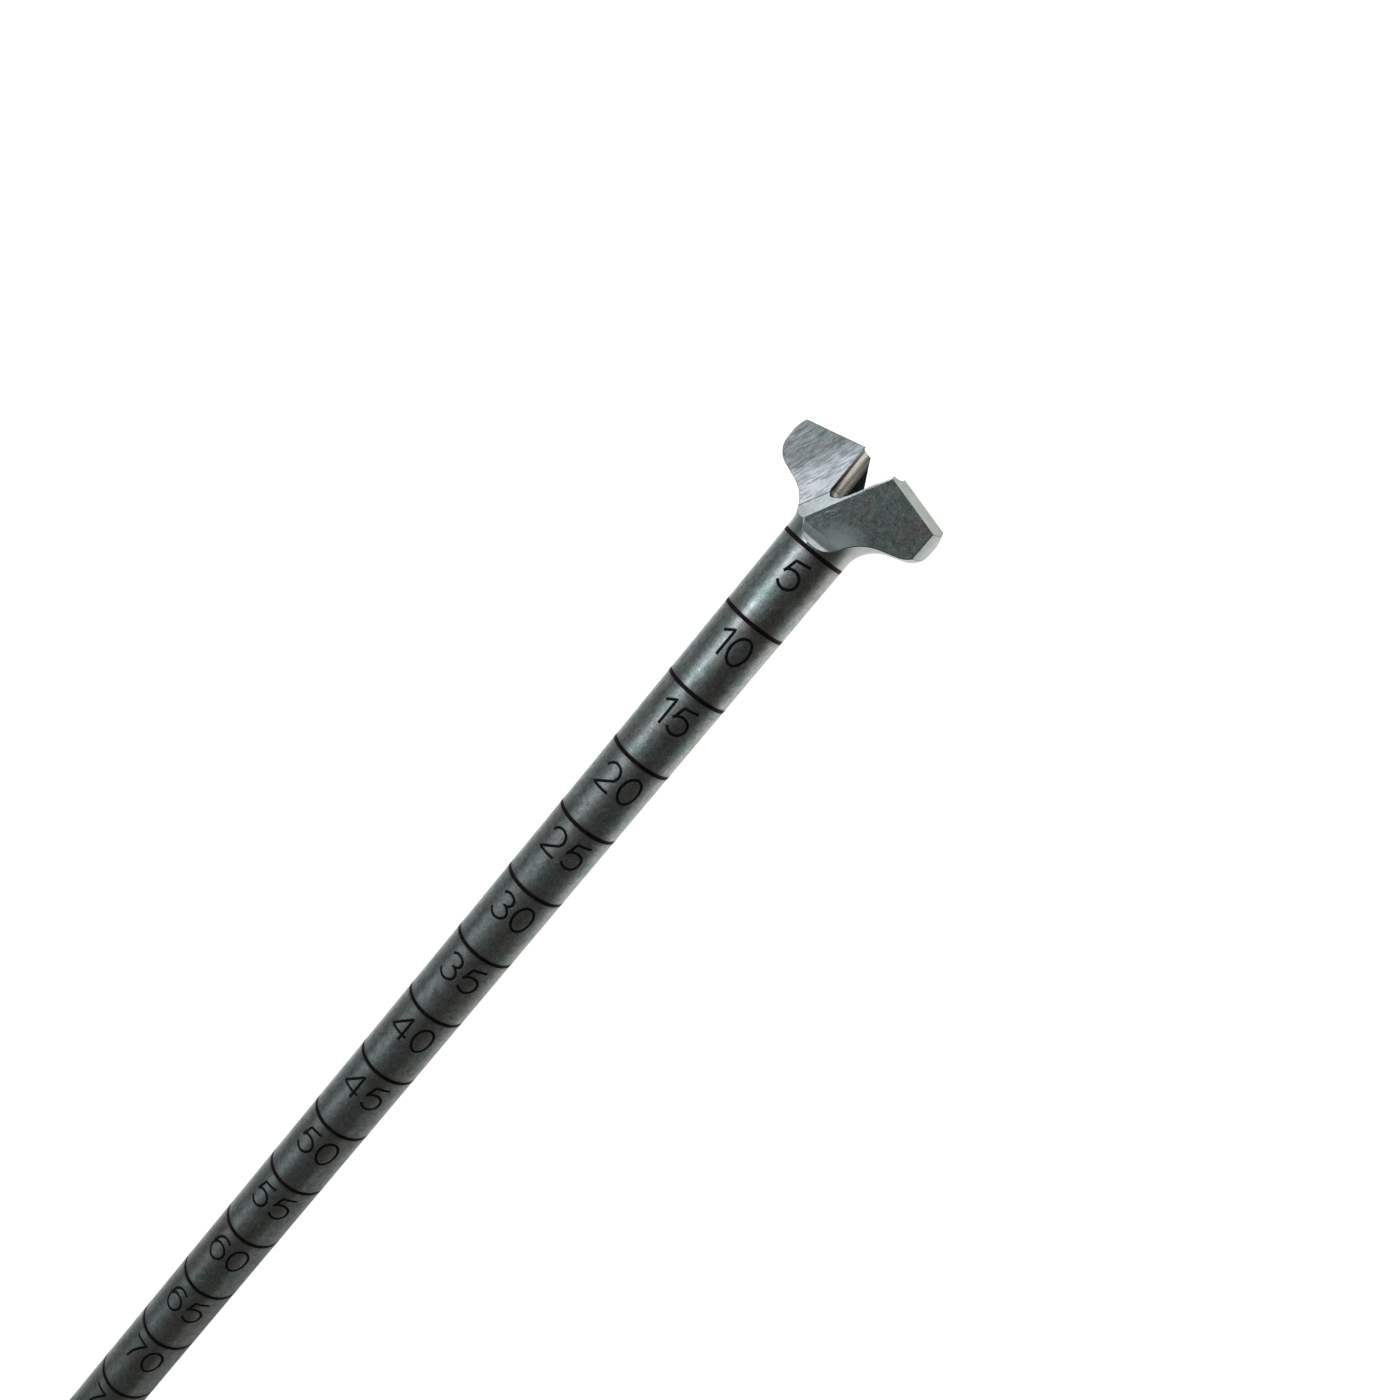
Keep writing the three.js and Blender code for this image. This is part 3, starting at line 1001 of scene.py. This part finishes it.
def softbox(name, offset, target, size, power, tint):
    """A rectangular light panel, placed from the scale's zero and aimed at a point of the tool."""
    clear_selection()
    place = SCALE_ZERO + Vector(offset)
    bpy.ops.object.light_add(type="AREA", location=place)
    light = bpy.context.object
    light.name = name
    aim = SCALE_ZERO + Vector(target)
    light.rotation_euler = (place - aim).to_track_quat("Z", "Y").to_euler()
    light.data.shape = "RECTANGLE"
    light.data.size, light.data.size_y = size
    light.data.energy = power
    light.data.color = tint


FLOOR_SIZE = 12
FLOOR_DROP = 0.0002
FLOOR_GREY = (0.6, 0.6, 0.6, 1)
FLOOR_GLOW = (1.0, 0.99, 0.95, 1)
NEAR_GLOW = 0.95
FAR_GLOW = 0.08
RIGHT_FADE = (-0.022, -0.005)
LEFT_FADE = (0.003, 0.0095)
NARROW_LENGTH = 0.07
NARROW_RATE = 0.2


def light_table():
    """The pale floor: a white sheet lit from below, whose glow fades to both sides in the reflections."""
    clear_selection()
    bpy.ops.mesh.primitive_plane_add(size=FLOOR_SIZE, location=(0, 0, -FLOOR_DROP))
    floor = named("floor")
    bpy.ops.object.transform_apply(location=True, rotation=True, scale=True)
    material, sheet, shader, position = new_material("white_sheet")
    shader.inputs["Metallic"].default_value = 0.0
    shader.inputs["Base Color"].default_value = FLOOR_GREY
    shader.inputs["Roughness"].default_value = 0.9
    shader.inputs["Specular IOR Level"].default_value = 0.0
    shader.inputs["Emission Color"].default_value = FLOOR_GLOW
    place = sheet.add("ShaderNodeSeparateXYZ")
    sheet.join(position, place.inputs[0])
    behind = sheet.math("SUBTRACT", SCALE_ZERO.x, place.outputs["X"])
    narrowing = sheet.math("MULTIPLY", sheet.math("MINIMUM", behind, NARROW_LENGTH), NARROW_RATE)
    reach = sheet.math("SUBTRACT", place.outputs["Y"], narrowing)
    right = sheet.span(reach, *RIGHT_FADE, FAR_GLOW, NEAR_GLOW)
    left = sheet.span(place.outputs["Y"], *LEFT_FADE, 1.0, FAR_GLOW)
    path = sheet.add("ShaderNodeLightPath")
    glow = sheet.math("MAXIMUM", sheet.math("MULTIPLY", right, left), path.outputs["Is Camera Ray"])
    sheet.join(glow, shader.inputs["Emission Strength"])
    floor.data.materials.append(material)


BACKDROP_LIGHT = 0.9
ROOM_SHADE = (0.056, 0.056, 0.051, 1)
ROOM_BRIGHT = (0.150, 0.175, 0.180, 1)
BRIGHT_SIDE = (-0.2, 1.0)
BRIGHT_HEIGHT = (0.0, 0.6)


def studio_room():
    """A dim room, a little brighter and cooler on the side of the panels, with a pale backdrop."""
    world = bpy.data.worlds.new("studio")
    bpy.context.scene.world = world
    world.use_nodes = True
    sheet = Sheet(world.node_tree)
    background = world.node_tree.nodes["Background"]
    direction = sheet.add("ShaderNodeSeparateXYZ")
    sheet.join(sheet.add("ShaderNodeTexCoord").outputs["Generated"], direction.inputs[0])
    aside = sheet.span(direction.outputs["Y"], *BRIGHT_SIDE)
    above = sheet.span(direction.outputs["Z"], *BRIGHT_HEIGHT)
    room = sheet.blend(sheet.math("MINIMUM", aside, above), ROOM_SHADE, ROOM_BRIGHT)
    path = sheet.add("ShaderNodeLightPath")
    pale = (BACKDROP_LIGHT, BACKDROP_LIGHT, BACKDROP_LIGHT, 1)
    sheet.join(sheet.blend(path.outputs["Is Camera Ray"], room, pale), background.inputs["Color"])


COOL = (0.86, 0.95, 1.0)
WARM = (1.0, 0.97, 0.92)
AT_HEAD = (-0.005, 0, 0)
AT_SCALE = (-0.045, 0, 0)
AT_SHANK = (-0.12, 0, 0)

# Name, place, aim, size, power and tint of each panel.
PANELS = [
    ("overhead_panel", (0.045, 0.012, 0.25), (0.045, 0.012, 0), (0.22, 0.10), 0.029, COOL),
    ("high_left_panel", (-0.02, 0.104, 0.17), AT_HEAD, (0.08, 0.055), 0.064, COOL),
    ("long_left_panel", (-0.18, 0.148, 0.14), AT_SCALE, (0.14, 0.08), 0.016, COOL),
    ("low_left_panel", (0.14, 0.22, 0.14), AT_HEAD, (0.08, 0.08), 0.22, COOL),
    ("rear_right_panel", (-0.267, -0.22, 0.067), AT_SHANK, (0.16, 0.06), 0.010, WARM),
    ("front_panel", (0.30, 0.02, 0.16), AT_HEAD, (0.12, 0.12), 0.12, COOL),
]


def set_studio():
    """Camera, floor, room and light panels."""
    set_camera()
    light_table()
    studio_room()
    for panel in PANELS:
        softbox(*panel)
    bpy.context.scene.view_settings.view_transform = "Standard"


# ---- Assembly ----------------------------------------------------------------------------------

cutting_head()
scale_tube()
chuck_shank()
depth_rings()
depth_numerals()
set_studio()
